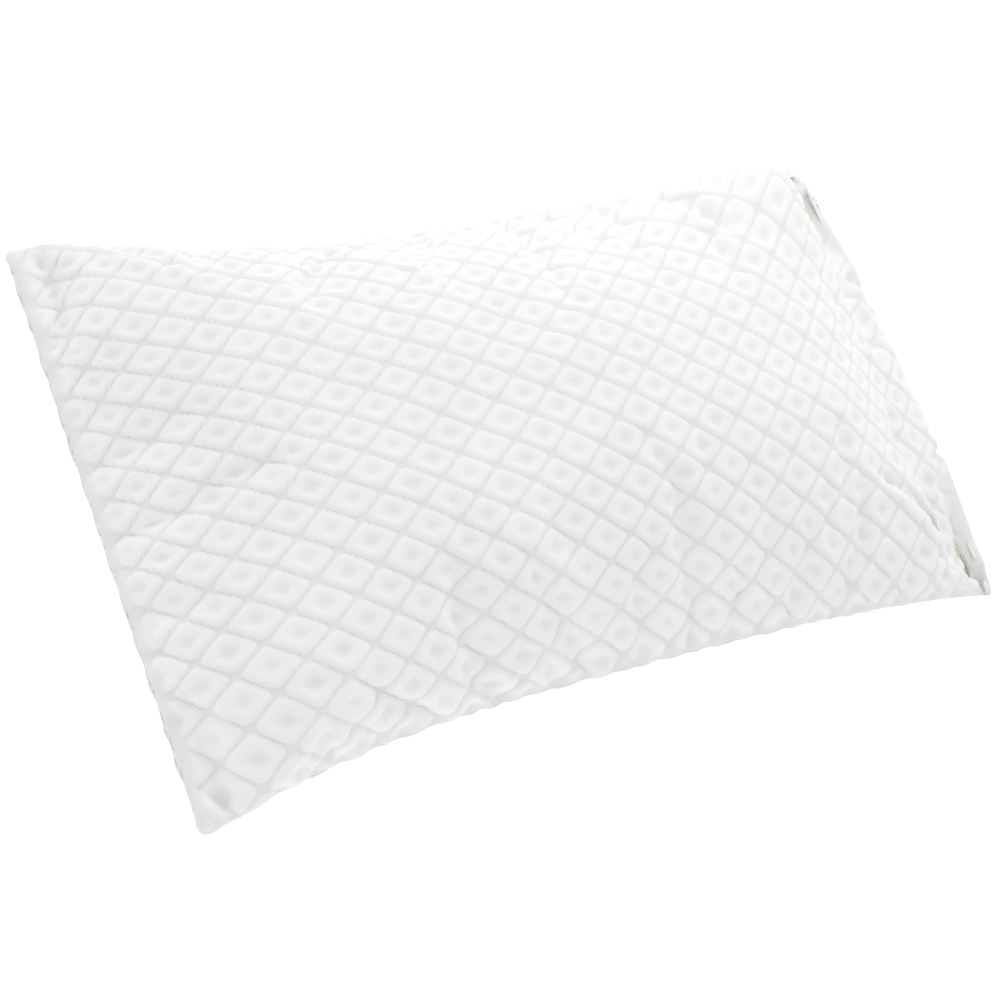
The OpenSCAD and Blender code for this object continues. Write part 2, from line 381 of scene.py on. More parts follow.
def folds(u, v):
    """Creases of the top panel near three of its corners, and a tuck in the near side, in metres."""
    deep = -5.0 * MM * crease(u, v, (0.262, -0.112), (0.408, -0.192), 6 * MM)
    lip = 3.5 * MM * crease(u, v, (0.262, -0.126), (0.405, -0.21), 9 * MM)
    short = -2.5 * MM * crease(u, v, (0.345, -0.165), (0.385, -0.238), 4 * MM)
    hem = -2.0 * MM * crease(u, v, (0.405, -0.19), (0.43, -0.06), 5 * MM)
    corner = -4.0 * MM * crease(u, v, (-0.462, -0.205), (-0.405, -0.262), 4.5 * MM)
    tuck = -3.0 * MM * crease(u, v, (0.085, -0.262), (0.105, -0.19), 4 * MM)
    far = -2.0 * MM * crease(u, v, (-0.465, 0.215), (-0.4, 0.2), 5 * MM)
    return deep + lip + short + hem + corner + tuck + far


def lumps(u, v, seed):
    """Low swells where crumbs of foam press against the cover."""
    return 1.7 * MM * value_noise(u, v, 85 * MM, seed) + 0.8 * MM * value_noise(u, v, 38 * MM, seed + 1)


def uneven_fill(grid, outward):
    """Foam has shifted into the far corner of the zipped end and away from the middle of that end."""
    s, t = np.meshgrid(np.linspace(-1, 1, grid.shape[0]), np.linspace(-1, 1, grid.shape[1]), indexing="ij")
    free = (1 - s**8) * (1 - t**8)
    full = FULL_CORNER * np.exp(-(((s - 0.68) / 0.25) ** 2) - ((t - 0.78) / 0.28) ** 2)
    slack = SLACK_END * np.exp(-(((s - 0.80) / 0.17) ** 2) - ((t + 0.05) / 0.55) ** 2)
    slack = slack * smooth((1 - s) / 0.13) * (1 - t**8)
    grid = grid + np.array((-0.1, 0.45, 0.9)) * (full * free)[..., None]
    return grid - normals(grid, outward) * slack[..., None]


def slot_window(v):
    """1 along the zip and 0 at the corners beyond it."""
    return 1 - smooth((np.abs(v) / (FLAT_W / 2) - SLOT_FULL) / (SLOT_NONE - SLOT_FULL))


def hem_line(u, v):
    """1 along the row of stitches that holds each panel's hem beside the zip."""
    inside = FLAT_L / 2 - u
    return np.exp(-(((inside - HEM) / (1.6 * MM)) ** 2)) * slot_window(v)


def round_corners(field, u, v):
    """Slides a panel's fine grid in from its four corners so that its outline is round there."""
    new_u, new_v = u.copy(), v.copy()
    for end, side, radius in CORNERS:
        into_u, into_v = FLAT_L / 2 - end * u, FLAT_W / 2 - side * v
        here = (into_u < radius) & (into_v < radius)
        a, b = 1 - into_u[here] / radius, 1 - into_v[here] / radius
        new_u[here] = end * (FLAT_L / 2 - radius * (1 - a * np.sqrt(1 - b * b / 2)))
        new_v[here] = side * (FLAT_W / 2 - radius * (1 - b * np.sqrt(1 - a * a / 2)))
    x = np.clip((new_u / FLAT_L + 0.5) * FINE_L, 0, FINE_L - 1e-6)
    y = np.clip((new_v / FLAT_W + 0.5) * FINE_W, 0, FINE_W - 1e-6)
    i, j = x.astype(int), y.astype(int)
    fx, fy = (x - i)[..., None], (y - j)[..., None]
    near = field[i, j] * (1 - fx) + field[i + 1, j] * fx
    far = field[i, j + 1] * (1 - fx) + field[i + 1, j + 1] * fx
    return near * (1 - fy) + far * fy, new_u, new_v


def cover_surface(grid, between, outward, seed):
    """Fine grids of a panel: cloth coordinates, outer and inner surfaces, and the quilting's height."""
    shares_l, shares_w = np.linspace(0, 1, FINE_L + 1), np.linspace(0, 1, FINE_W + 1)
    u, v = np.meshgrid((shares_l - 0.5) * FLAT_L, (shares_w - 0.5) * FLAT_W, indexing="ij")
    middle = resample(grid, shares_l, shares_w)
    from_zip_end = FLAT_L / 2 - u
    middle[..., 2] += outward * SLOT_HALF * slot_window(v) * np.exp(-((from_zip_end / SLOT_REACH) ** 2))
    normal = normals(blur(middle, 6), outward)
    d = edge_distance(u, v)
    swell = lumps(u, v, seed) * smooth((d - 5 * MM) / (50 * MM))
    swell = swell + puckers(u, v, seed + 7) * smooth(d / (4 * MM))
    if outward > 0:
        swell = np.maximum(swell + folds(u, v) * smooth((d - 3 * MM) / (8 * MM)), -DEEPEST)
    middle = middle + normal * swell[..., None]
    if outward < 0:
        middle[..., 2] = np.maximum(middle[..., 2], 1.9 * MM)
    normal = normals(blur(middle, 3), outward)
    middle, pattern_u, pattern_v = round_corners(middle, u, v)
    between, _, _ = round_corners(resample(between, shares_l, shares_w), u, v)
    normal, _, _ = round_corners(normal, u, v)
    closing = np.clip(d / np.maximum(edge_distance(pattern_u, pattern_v), 1e-6), 0, 1)
    closing = np.where(pattern_u == u, 1, closing)
    middle = between + (middle - between) * closing[..., None]
    half = COVER_T / 2
    nose = half * np.sqrt(np.clip(1 - (1 - np.clip(d / (1.6 * half), 0, 1)) ** 2, 0, 1))
    keep = smooth((d - 4 * MM) / (12 * MM)) * smooth((from_zip_end - 11 * MM) / (18 * MM))
    quilt = quilting(pattern_u, pattern_v) * keep
    height = nose + RELIEF * (quilt - 0.4 * keep) - 0.8 * MM * hem_line(u, v)
    outer = middle + normal * height[..., None]
    if outward < 0:
        outer[..., 2] = np.maximum(outer[..., 2], 0.2 * MM)
    inner = middle - normal * np.minimum(nose, half)[..., None]
    return u, v, outer, inner, quilt


def grid_faces(rows, columns, base=0, flip=False):
    faces = []
    for i in range(rows):
        for j in range(columns):
            a = base + i * (columns + 1) + j
            face = (a, a + columns + 1, a + columns + 2, a + 1)
            faces.append(face[::-1] if flip else face)
    return faces


def rim_indices(rows, columns, step=1):
    """Grid indices once round the rim, anticlockwise from above, every step-th one."""
    width = columns + 1
    loop = [i * width for i in range(0, rows, step)]
    loop += [rows * width + j for j in range(0, columns, step)]
    loop += [i * width + columns for i in range(rows, 0, -step)]
    loop += [j for j in range(columns, 0, -step)]
    return loop


def shell_object(name, outer, inner, u, v, relief, outward, sparse_by=SPARSE):
    """A closed panel: a fine outside, a sparse inside, and a strip that joins them along the rim."""
    rows, columns = outer.shape[0] - 1, outer.shape[1] - 1
    sparse = inner[::sparse_by, ::sparse_by]
    verts = np.concatenate([outer.reshape(-1, 3), sparse.reshape(-1, 3)])
    base = outer.shape[0] * outer.shape[1]
    flip = outward < 0
    faces = grid_faces(rows, columns, 0, flip)
    faces += grid_faces(rows // sparse_by, columns // sparse_by, base, not flip)
    fine = rim_indices(rows, columns)
    rough = [base + i for i in rim_indices(rows // sparse_by, columns // sparse_by)]
    for k, corner in enumerate(rough):
        following = rough[(k + 1) % len(rough)]
        run = [fine[(k * sparse_by + m) % len(fine)] for m in range(sparse_by + 1)]
        for a, b in zip(run[:-1], run[1:]):
            face = (b, a, corner) if not flip else (a, b, corner)
            faces.append(face)
        last = (run[-1], corner, following)
        faces.append(last if not flip else last[::-1])
    obj = mesh_object(name, verts, faces)
    # The relief attribute is the quilting's height; the knit material paints shade into the grooves from it,
    # and the inside gets a middle value
    attribute = obj.data.attributes.new("relief", "FLOAT", "POINT")
    values = np.concatenate([relief.reshape(-1), np.full(len(sparse.reshape(-1, 3)), 0.4)])
    attribute.data.foreach_set("value", values.astype(np.float32))
    cloth_uv = np.concatenate([np.stack([u, v], -1).reshape(-1, 2),
                               np.stack([u, v], -1)[::sparse_by, ::sparse_by].reshape(-1, 2)])
    layer = obj.data.uv_layers.new(name="cloth")
    loops = np.zeros(len(obj.data.loops), int)
    obj.data.loops.foreach_get("vertex_index", loops)
    layer.data.foreach_set("uv", cloth_uv[loops].reshape(-1).astype(np.float32))
    return obj


# ---- Materials --------------------------------------------------------------------------------------


class Finish:
    """A Principled material with helpers for its procedural textures."""

    def __init__(self, name, color, roughness=0.6, metallic=0.0, sheen=0.0, specular=0.5):
        self.material = bpy.data.materials.new(name)
        self.material.use_nodes = True
        self.tree = self.material.node_tree
        self.shader = self.tree.nodes["Principled BSDF"]
        self.shader.inputs["Base Color"].default_value = (*color, 1)
        self.shader.inputs["Roughness"].default_value = roughness
        self.shader.inputs["Metallic"].default_value = metallic
        self.shader.inputs["Sheen Weight"].default_value = sheen
        self.shader.inputs["Specular IOR Level"].default_value = specular
        self.coord = self.tree.nodes.new("ShaderNodeTexCoord")

    def noise(self, scale, detail=3.0, where="Object"):
        node = self.tree.nodes.new("ShaderNodeTexNoise")
        node.inputs["Scale"].default_value = scale
        node.inputs["Detail"].default_value = detail
        self.tree.links.new(self.coord.outputs[where], node.inputs["Vector"])
        return node.outputs["Fac"]

    def bands(self, scale, direction, where="Object", distortion=0.0):
        node = self.tree.nodes.new("ShaderNodeTexWave")
        node.bands_direction = direction
        node.inputs["Scale"].default_value = scale
        node.inputs["Distortion"].default_value = distortion
        self.tree.links.new(self.coord.outputs[where], node.inputs["Vector"])
        return node.outputs["Fac"]

    def attribute(self, name):
        node = self.tree.nodes.new("ShaderNodeAttribute")
        node.attribute_name = name
        return node.outputs["Fac"]

    def combine(self, operation, first, second):
        node = self.tree.nodes.new("ShaderNodeMath")
        node.operation = operation
        self.tree.links.new(first, node.inputs[0])
        self.tree.links.new(second, node.inputs[1])
        return node.outputs["Value"]

    def bump(self, height, depth, strength=0.5):
        node = self.tree.nodes.new("ShaderNodeBump")
        node.inputs["Distance"].default_value = depth
        node.inputs["Strength"].default_value = strength
        self.tree.links.new(height, node.inputs["Height"])
        self.tree.links.new(node.outputs["Normal"], self.shader.inputs["Normal"])

    def vary_roughness(self, source, low, high):
        node = self.tree.nodes.new("ShaderNodeMapRange")
        node.inputs["To Min"].default_value = low
        node.inputs["To Max"].default_value = high
        self.tree.links.new(source, node.inputs["Value"])
        self.tree.links.new(node.outputs["Result"], self.shader.inputs["Roughness"])

    def ramp(self, source, low, high, start=0.0, end=1.0):
        node = self.tree.nodes.new("ShaderNodeValToRGB")
        node.color_ramp.elements[0].position = start
        node.color_ramp.elements[0].color = (*low, 1)
        node.color_ramp.elements[1].position = end
        node.color_ramp.elements[1].color = (*high, 1)
        self.tree.links.new(source, node.inputs["Fac"])
        return node.outputs["Color"]

    def colour(self, source):
        self.tree.links.new(source, self.shader.inputs["Base Color"])

    def multiply(self, first, second):
        node = self.tree.nodes.new("ShaderNodeMix")
        node.data_type = "RGBA"
        node.blend_type = "MULTIPLY"
        node.inputs[0].default_value = 1.0
        self.tree.links.new(first, node.inputs[6])
        self.tree.links.new(second, node.inputs[7])
        return node.outputs[2]


def knit_finish():
    f = Finish("quilted_knit", (0.88, 0.88, 0.88), 0.9, sheen=0.1, specular=0.2)
    # Painted shade: the knit is darker and a little warmer where the quilting's relief is low, in its grooves
    # and dimples
    painted_groove_shade = f.ramp(f.attribute("relief"), (0.81, 0.808, 0.80), (0.89, 0.89, 0.89), 0.0, 0.6)
    blotches = f.ramp(f.noise(14.0, 4.0), (0.985, 0.98, 0.972), (1, 1, 1), 0.35, 0.65)
    f.colour(f.multiply(painted_groove_shade, blotches))
    fuzz = f.noise(700.0)
    wales = f.bands(150.0, "X", "UV", 1.5)
    courses = f.bands(190.0, "Y", "UV", 1.5)
    f.bump(f.combine("ADD", fuzz, f.combine("MULTIPLY", wales, courses)), 0.0004, 0.22)
    f.vary_roughness(fuzz, 0.82, 0.97)
    return f.material


def case_finish():
    f = Finish("case_cloth", (0.86, 0.855, 0.84), 0.8, sheen=0.05, specular=0.3)
    weave = f.combine("ADD", f.bands(420.0, "X", "UV"), f.bands(420.0, "Y", "UV"))
    f.colour(f.ramp(f.noise(9.0, 5.0), (0.83, 0.822, 0.80), (0.88, 0.876, 0.865), 0.3, 0.7))
    f.bump(weave, 0.0002, 0.4)
    f.vary_roughness(f.noise(60.0), 0.72, 0.88)
    return f.material


def thread_finish():
    f = Finish("sewing_thread", (0.9, 0.9, 0.89), 0.55, sheen=0.1)
    f.bump(f.bands(900.0, "DIAGONAL", distortion=1.0), 0.0001, 0.5)
    f.colour(f.ramp(f.noise(300.0), (0.84, 0.84, 0.825), (0.92, 0.92, 0.915), 0.3, 0.7))
    f.vary_roughness(f.noise(900.0), 0.45, 0.65)
    return f.material


def label_finish():
    f = Finish("label_ribbon", (0.92, 0.92, 0.92), 0.4, sheen=0.1)
    f.bump(f.combine("ADD", f.bands(900.0, "Y"), f.bands(700.0, "Z")), 0.0001, 0.3)
    f.colour(f.ramp(f.noise(80.0), (0.88, 0.88, 0.87), (0.94, 0.94, 0.935), 0.3, 0.7))
    f.vary_roughness(f.noise(200.0), 0.33, 0.5)
    return f.material


def tape_finish():
    f = Finish("zip_tape", (0.88, 0.88, 0.875), 0.75, sheen=0.1, specular=0.3)
    twill = f.combine("MULTIPLY", f.bands(500.0, "Y", distortion=0.6), f.bands(650.0, "Z"))
    f.colour(f.ramp(twill, (0.80, 0.80, 0.79), (0.9, 0.9, 0.895), 0.0, 0.7))
    f.bump(twill, 0.0002, 0.6)
    f.vary_roughness(f.noise(400.0), 0.65, 0.85)
    return f.material


def coil_finish():
    f = Finish("zip_coil", (0.86, 0.86, 0.85), 0.35)
    f.colour(f.ramp(f.noise(120.0), (0.82, 0.82, 0.805), (0.88, 0.88, 0.875), 0.3, 0.7))
    f.vary_roughness(f.noise(500.0), 0.28, 0.45)
    f.bump(f.noise(1500.0), 0.00005, 0.3)
    return f.material


def metal_finish():
    f = Finish("zip_metal", (0.86, 0.86, 0.85), 0.3)
    f.shader.inputs["Coat Weight"].default_value = 0.3
    worn = f.noise(260.0, 6.0)
    f.colour(f.ramp(worn, (0.78, 0.78, 0.77), (0.88, 0.88, 0.875), 0.3, 0.6))
    f.vary_roughness(worn, 0.2, 0.42)
    f.bump(f.noise(900.0), 0.00004, 0.3)
    return f.material


def foam_finish():
    f = Finish("shredded_foam", (0.88, 0.83, 0.68), 0.95, sheen=0.1, specular=0.2)
    f.colour(f.ramp(f.noise(70.0, 4.0), (0.80, 0.73, 0.55), (0.93, 0.89, 0.76), 0.3, 0.7))
    f.bump(f.noise(900.0, 5.0), 0.0008, 0.6)
    f.vary_roughness(f.noise(200.0), 0.85, 1.0)
    return f.material


# ---- Camera, light and floor ------------------------------------------------------------------------


def make_camera():
    """The camera looks down at the pillow from beyond its plain end and is rolled about its own axis."""
    target = Vector((-0.0905, -0.0493, 0.1))
    distance = 1.5569
    azimuth, elevation, roll = (math.radians(a) for a in (-157.32, 53.37, 50.0))
    back = Vector((math.cos(azimuth) * math.cos(elevation), math.sin(azimuth) * math.cos(elevation),
                   math.sin(elevation)))
    right = Vector((0, 0, 1)).cross(back).normalized()
    up = back.cross(right)
    turn = Matrix.Rotation(roll, 3, back)
    axes = Matrix((turn @ right, turn @ up, back)).transposed()
    data = bpy.data.cameras.new("camera")
    data.sensor_width = 36
    data.lens = 66.88
    data.clip_start = 0.01
    data.clip_end = 50
    camera = link("camera", data)
    camera.matrix_world = Matrix.Translation(target + back * distance) @ axes.to_4x4()
    bpy.context.scene.camera = camera


def make_light():
    """An even white studio with one soft key light from the far side."""
    scene = bpy.context.scene
    scene.view_settings.view_transform = "Standard"
    world = bpy.data.worlds.new("studio")
    world.use_nodes = True
    world.node_tree.nodes["Background"].inputs["Color"].default_value = (1.0, 1.0, 1.0, 1)
    world.node_tree.nodes["Background"].inputs["Strength"].default_value = AMBIENT
    scene.world = world
    azimuth, elevation, distance = math.radians(62), math.radians(42), 2.4
    way = Vector((math.cos(azimuth) * math.cos(elevation), math.sin(azimuth) * math.cos(elevation),
                  math.sin(elevation)))
    light = bpy.data.lights.new("key", "AREA")
    light.size = 0.7
    light.energy = KEY_POWER
    key = link("key", light)
    key.location = way * distance
    key.rotation_euler = way.to_track_quat("Z", "Y").to_euler()


def make_floor():
    """A white floor that glows a little, so that the background is white."""
    corners = [(x * FLOOR_HALF, y * FLOOR_HALF, 0) for x, y in ((-1, -1), (1, -1), (1, 1), (-1, 1))]
    floor = mesh_object("floor", corners, [(0, 1, 2, 3)])
    f = Finish("floor_white", (0.98, 0.98, 0.98), 1.0, specular=0.0)
    f.shader.inputs["Emission Color"].default_value = (1, 1, 1, 1)
    f.shader.inputs["Emission Strength"].default_value = 0.32
    floor.data.materials.append(f.material)


# ---- Small shapes -----------------------------------------------------------------------------------


def sweep(points, radius, sides=8, closed=False, squash=1.0):
    """Vertices and faces of a tube along points, turned without twisting; squash flattens it along Z."""
    points = np.asarray(points, float)
    count = len(points)
    ahead = np.roll(points, -1, 0) - np.roll(points, 1, 0)
    if not closed:
        ahead[0], ahead[-1] = points[1] - points[0], points[-1] - points[-2]
    ahead /= np.linalg.norm(ahead, axis=1, keepdims=True)
    side = np.cross(ahead, (0.0, 0.0, 1.0))
    weak = np.linalg.norm(side, axis=1) < 1e-6
    side[weak] = np.cross(ahead[weak], (1.0, 0.0, 0.0))
    side /= np.linalg.norm(side, axis=1, keepdims=True)
    up = np.cross(side, ahead)
    angle = np.linspace(0, 2 * math.pi, sides, endpoint=False)
    radius = np.broadcast_to(radius, (count,))[:, None, None]
    ring = side[:, None] * np.cos(angle)[None, :, None] + squash * up[:, None] * np.sin(angle)[None, :, None]
    verts = (points[:, None] + radius * ring).reshape(-1, 3)
    faces = []
    for i in range(count if closed else count - 1):
        for j in range(sides):
            a, b = i * sides, (i + 1) % count * sides
            k = (j + 1) % sides
            faces.append((a + j, a + k, b + k, b + j))
    if not closed:
        faces.append(tuple(range(sides))[::-1])
        faces.append(tuple((count - 1) * sides + j for j in range(sides)))
    return verts, faces


def gather(parts):
    """Joins several (vertices, faces) into one."""
    verts, faces, base = [], [], 0
    for part_verts, part_faces in parts:
        verts.append(part_verts)
        faces += [tuple(base + i for i in face) for face in part_faces]
        base += len(part_verts)
    return np.concatenate(verts), faces


def stitch_row(places, outward, length, gap, radius):
    """Stitches along a line on the cloth: each is a thread that dips into the cloth at both ends."""
    places, outward = np.asarray(places), np.asarray(outward)
    reach = np.concatenate([[0], np.cumsum(np.linalg.norm(np.diff(places, axis=0), axis=1))])
    parts = []
    for start in np.arange(0, reach[-1] - length, length + gap):
        at = start + np.linspace(0, 1, 7) * length
        line = np.stack([np.interp(at, reach, places[:, k]) for k in range(3)], 1)
        out = np.stack([np.interp(at, reach, outward[:, k]) for k in range(3)], 1)
        bow = np.sin(np.linspace(0, math.pi, 7)) ** 0.6
        line = line + out * (radius * (1.5 * bow - 0.9))[:, None]
        parts.append(sweep(line, radius * (0.55 + 0.45 * bow), 6))
    return gather(parts)


def bevelled_copy(node, name, width, segments=2):
    """The CAD node's own shape as a new piece, with its sharp edges rounded."""
    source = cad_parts[node]
    mesh = source.data.copy()
    mesh.name = name
    mesh.transform(source.matrix_world)
    shape = bmesh.new()
    shape.from_mesh(mesh)
    bmesh.ops.remove_doubles(shape, verts=shape.verts, dist=1e-6)
    bmesh.ops.dissolve_limit(shape, angle_limit=math.radians(1), verts=shape.verts, edges=shape.edges)
    sharp = [e for e in shape.edges if e.is_manifold and e.calc_face_angle() > math.radians(35)]
    bmesh.ops.bevel(shape, geom=sharp, offset=width, offset_type="OFFSET", segments=segments, profile=0.6,
                    affect="EDGES", clamp_overlap=True)
    shape.to_mesh(mesh)
    shape.free()
    mesh.polygons.foreach_set("use_smooth", [True] * len(mesh.polygons))
    mesh.set_sharp_from_angle(angle=math.radians(50))
    return link(name, mesh)


def finish_piece(obj, material, slot, *nodes, body="pillow"):
    """Gives a piece its material and its body, and hides the CAD nodes that it stands for; the slot argument
    is not used.
    """
    obj.data.materials.clear()
    obj.data.materials.append(material)
    if nodes:
        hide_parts(*nodes)
    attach(obj, body)
    return obj


# ---- Pieces -----------------------------------------------------------------------------------------


def layer_pair(top, bottom, scale, thickness, wrinkle, seed, quads=(160, 90)):
    """Two sheets inside the cover: its filled shape made smaller and flatter at the corners, and wrinkled."""
    along, across = np.linspace(0, 1, quads[0] + 1), np.linspace(0, 1, quads[1] + 1)
    s, t = np.meshgrid(2 * along - 1, 2 * across - 1, indexing="ij")
    u, v = s * FLAT_L / 2, t * FLAT_W / 2
    between = resample((top + bottom) / 2, along, across)
    to_corner = np.hypot(FLAT_L / 2 - np.abs(u), FLAT_W / 2 - np.abs(v))
    from_zip_end = FLAT_L / 2 - u
    thin = 0.8 * np.exp(-((to_corner / (75 * MM)) ** 2)) + 0.35 * np.exp(-((from_zip_end / (55 * MM)) ** 2))
    full = (1 - np.clip(thin, 0, 0.85))[..., None]
    sheets = []
    for grid, outward in ((top, 1), (bottom, -1)):
        place = between + (resample(grid, along, across) - between) * full
        place = (place - (0, 0, SEAM_Z)) * scale + (0, 0, SEAM_Z)
        normal = normals(blur(place, 3), outward)
        edge = smooth(edge_distance(u, v) / (40 * MM))
        ripple = value_noise(u, v * 0.4, 26 * MM, seed + outward) + 0.6 * value_noise(u, v, 11 * MM, seed + 5)
        near_rim = np.exp(-edge_distance(u, v) / (18 * MM))
        height = -wrinkle * (0.5 + 0.5 * ripple) * (0.4 + 0.6 * near_rim) * edge
        outer = place + normal * height[..., None]
        lip = smooth(edge_distance(u, v) / (6 * MM))[..., None]
        outer = outer + normal * (thickness / 2) * lip
        sheets.append((u, v, outer, outer - normal * thickness * lip, outward))
    return sheets


def rim_line(grid):
    """Points once round the rim of a grid, anticlockwise from above, without repeats."""
    return np.concatenate([grid[:-1, 0], grid[-1, :-1], grid[:0:-1, -1], grid[0, :0:-1]])


def make_overlock(points):
    """The seam allowance turned inside the cover, trimmed by a wrapped thread along its edge."""
    ahead = np.roll(points, -3, 0) - np.roll(points, 3, 0)
    side = np.stack([-ahead[:, 1], ahead[:, 0], np.zeros(len(ahead))], 1)
    side /= np.linalg.norm(side, axis=1, keepdims=True)
    for _ in range(8):
        side = (np.roll(side, 1, 0) + 2 * side + np.roll(side, -1, 0)) / 4
    points = points + side * 3.0 * MM
    beside_zip = (points[:, 0] > ALLOWANCE_END_X) & (np.abs(points[:, 1]) < ALLOWANCE_END_Y)
    start = int(np.nonzero(beside_zip)[0].max()) + 1
    order = np.roll(np.arange(len(points)), -start)[: len(points) - int(beside_zip.sum())]
    points, side = points[order], side[order]
    wave = 0.35 * MM * np.sin(np.arange(len(points)) * 0.21)
    depth = 6.0 * MM
    offsets = ((0, 0.5), (0.33, 0.6), (0.66, 0.6), (1, 0.5), (1, -0.5), (0.66, -0.6), (0.33, -0.6), (0, -0.5))
    rings = np.stack([points + side * depth * d + np.stack([0 * wave, 0 * wave, wave * d + h * 1.1 * MM], 1)
                      for d, h in offsets], 1)
    count, sides = rings.shape[:2]
    faces = [(i * sides + j, i * sides + (j + 1) % sides,
              (i + 1) * sides + (j + 1) % sides, (i + 1) * sides + j)
             for i in range(count - 1) for j in range(sides)]
    faces += [tuple(range(sides))[::-1], tuple((count - 1) * sides + j for j in range(sides))]
    strip = (rings.reshape(-1, 3), faces)
    coarse = np.arange(len(points))
    fine = np.linspace(0, len(points) - 1, 6 * len(points))
    trimmed = points + side * 4.6 * MM
    edge = np.stack([np.interp(fine, coarse, trimmed[:, k]) for k in range(3)], 1)
    inward = np.stack([np.interp(fine, coarse, side[:, k]) for k in range(3)], 1)
    turn = np.arange(len(fine)) * (2 * math.pi / 7)
    wrap = edge + inward * (2.1 * MM * np.cos(turn))[:, None]
    wrap[:, 2] += 0.95 * MM * np.sin(turn)
    thread = sweep(wrap, 0.2 * MM, 5)
    return mesh_object("seam_allowance", *gather([strip, thread]))


def make_tape(name, side):
    """Half of the zip's woven tape: flat beside the coil, then bent back inside the hem, with a selvedge."""
    profile = [(415.35, 0.9), (415.35, 2.6), (415.35, 4.6), (414.6, 5.6),
               (413.2, 6.2), (411.5, 6.5), (409.8, 6.7)]
    outer = np.array(profile) * MM
    ahead = np.gradient(outer, axis=0)
    normal = np.stack([-ahead[:, 1], ahead[:, 0]], 1) / np.linalg.norm(ahead, axis=1)[:, None]
    thick = np.array([0.5, 0.5, 0.5, 0.5, 0.5, 0.5, 0.7])[:, None] * MM
    inner = outer + normal * thick
    loop = np.concatenate([outer, inner[::-1]])
    ys = np.linspace(tape_low.y, tape_high.y, 240)
    rings = np.stack([np.stack([loop[:, 0], np.full(len(loop), y), SEAM_Z + side * loop[:, 1]], 1)
                      for y in ys], 0)
    count, sides = rings.shape[:2]
    faces = [(i * sides + j, (i + 1) * sides + j,
              (i + 1) * sides + (j + 1) % sides, i * sides + (j + 1) % sides)
             for i in range(count - 1) for j in range(sides)]
    faces += [tuple(range(sides)), tuple((count - 1) * sides + j for j in range(sides))[::-1]]
    if side < 0:
        faces = [face[::-1] for face in faces]
    return mesh_object(name, rings.reshape(-1, 3), faces)


def make_tape_stitches(name, side):
    """The row of stitches that sews one tape to its panel."""
    ys = np.linspace(stitch_low.y, stitch_high.y, 60)
    z = SEAM_Z + side * 4.1 * MM
    places = np.stack([0 * ys + TAPE_X, ys, 0 * ys + z], 1)
    return mesh_object(name, *stitch_row(places, places * 0 + (1, 0, 0), 2.2 * MM, 0.8 * MM, 0.24 * MM))


def make_coil(name, side, phase):
    """A monofilament wound into the zip's teeth; the two coils' turns lie between one another."""
    pitch = 1.25 * MM
    wire = 0.27 * MM
    points_per_turn = 14
    turns = (coil_high.y - coil_low.y) / pitch
    angle = np.linspace(0, 2 * math.pi * turns, int(turns * points_per_turn)) + phase
    middle_x = (coil_low.x + coil_high.x) / 2
    half_x = (coil_high.x - coil_low.x) / 2 - wire
    x = middle_x + half_x * np.sin(angle)
    rise = np.cos(angle)
    z = SEAM_Z + side * (1.42 * MM + 1.16 * MM * np.sign(rise) * np.abs(rise) ** 0.7)
    y = coil_low.y + np.linspace(0, 1, len(angle)) * (coil_high.y - coil_low.y)
    return mesh_object(name, *sweep(np.stack([x, y, z], 1), wire, 6))


def make_crimp(name, centres, size):
    """Stops pressed round the zip: a rounded block with a dented outer face."""
    parts = []
    for centre in centres:
        shape = bmesh.new()
        bmesh.ops.create_cube(shape, size=1, matrix=Matrix.Translation(centre) @ Matrix.Diagonal((*size, 1)))
        face = max(shape.faces, key=lambda f: f.calc_center_median().x)
        bmesh.ops.inset_individual(shape, faces=[face], thickness=0.35 * MM, depth=0)
        bmesh.ops.translate(shape, verts=face.verts, vec=(-0.25 * MM, 0, 0))
        bmesh.ops.bevel(shape, geom=[e for e in shape.edges if e.is_manifold and e.calc_face_angle() > 0.8],
                        offset=0.22 * MM, offset_type="OFFSET", segments=3, profile=0.5, affect="EDGES")
        shape.verts.ensure_lookup_table()
        index = {v: k for k, v in enumerate(shape.verts)}
        verts = np.array([tuple(v.co) for v in shape.verts])
        faces = [tuple(index[v] for v in f.verts) for f in shape.faces]
        parts.append((verts, faces))
        shape.free()
    return mesh_object(name, *gather(parts))


def make_label():
    """A blank care label: one ribbon folded in two, held in the plain end's seam inside the cover."""
    low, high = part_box("care_label")
    across = np.linspace(low.y, high.y, LABEL_ACROSS)
    down = np.linspace(0, 1, LABEL_ALONG)
    verts = []
    for f in down:
        rise = min(f, 1 - f) * 2
        back = 1 if f > 0.5 else -1
        for y in across:
            x = low.x + 2.5 * MM + rise * 11 * MM + back * 0.32 * MM * math.sin(rise * math.pi) ** 0.5
            x += 0.25 * MM * math.sin(y / (6 * MM)) * rise
            verts.append((x, y, low.z + 0.3 * MM + rise * 9.5 * MM))
    outer = np.array(verts).reshape(LABEL_ALONG, LABEL_ACROSS, 3)
    normal = normals(outer, 1)
    inner = outer - normal * 0.22 * MM
    u, v = np.meshgrid(down * LABEL_FLAT[0], across, indexing="ij")
    return shell_object("blank_care_label", outer, inner, u, v, 0 * u, 1, 1)


def make_hem_stitches(name, outer, v, side):
    """The row of stitches that holds one panel's hem beside the zip."""
    column = round(FINE_L * (1 - HEM / FLAT_L))
    run = np.nonzero(slot_window(v[column]) > 0.5)[0]
    outward = normals(blur(outer, 4), side)[column, run]
    return mesh_object(name, *stitch_row(outer[column, run], outward, 2.6 * MM, 0.9 * MM, 0.3 * MM))


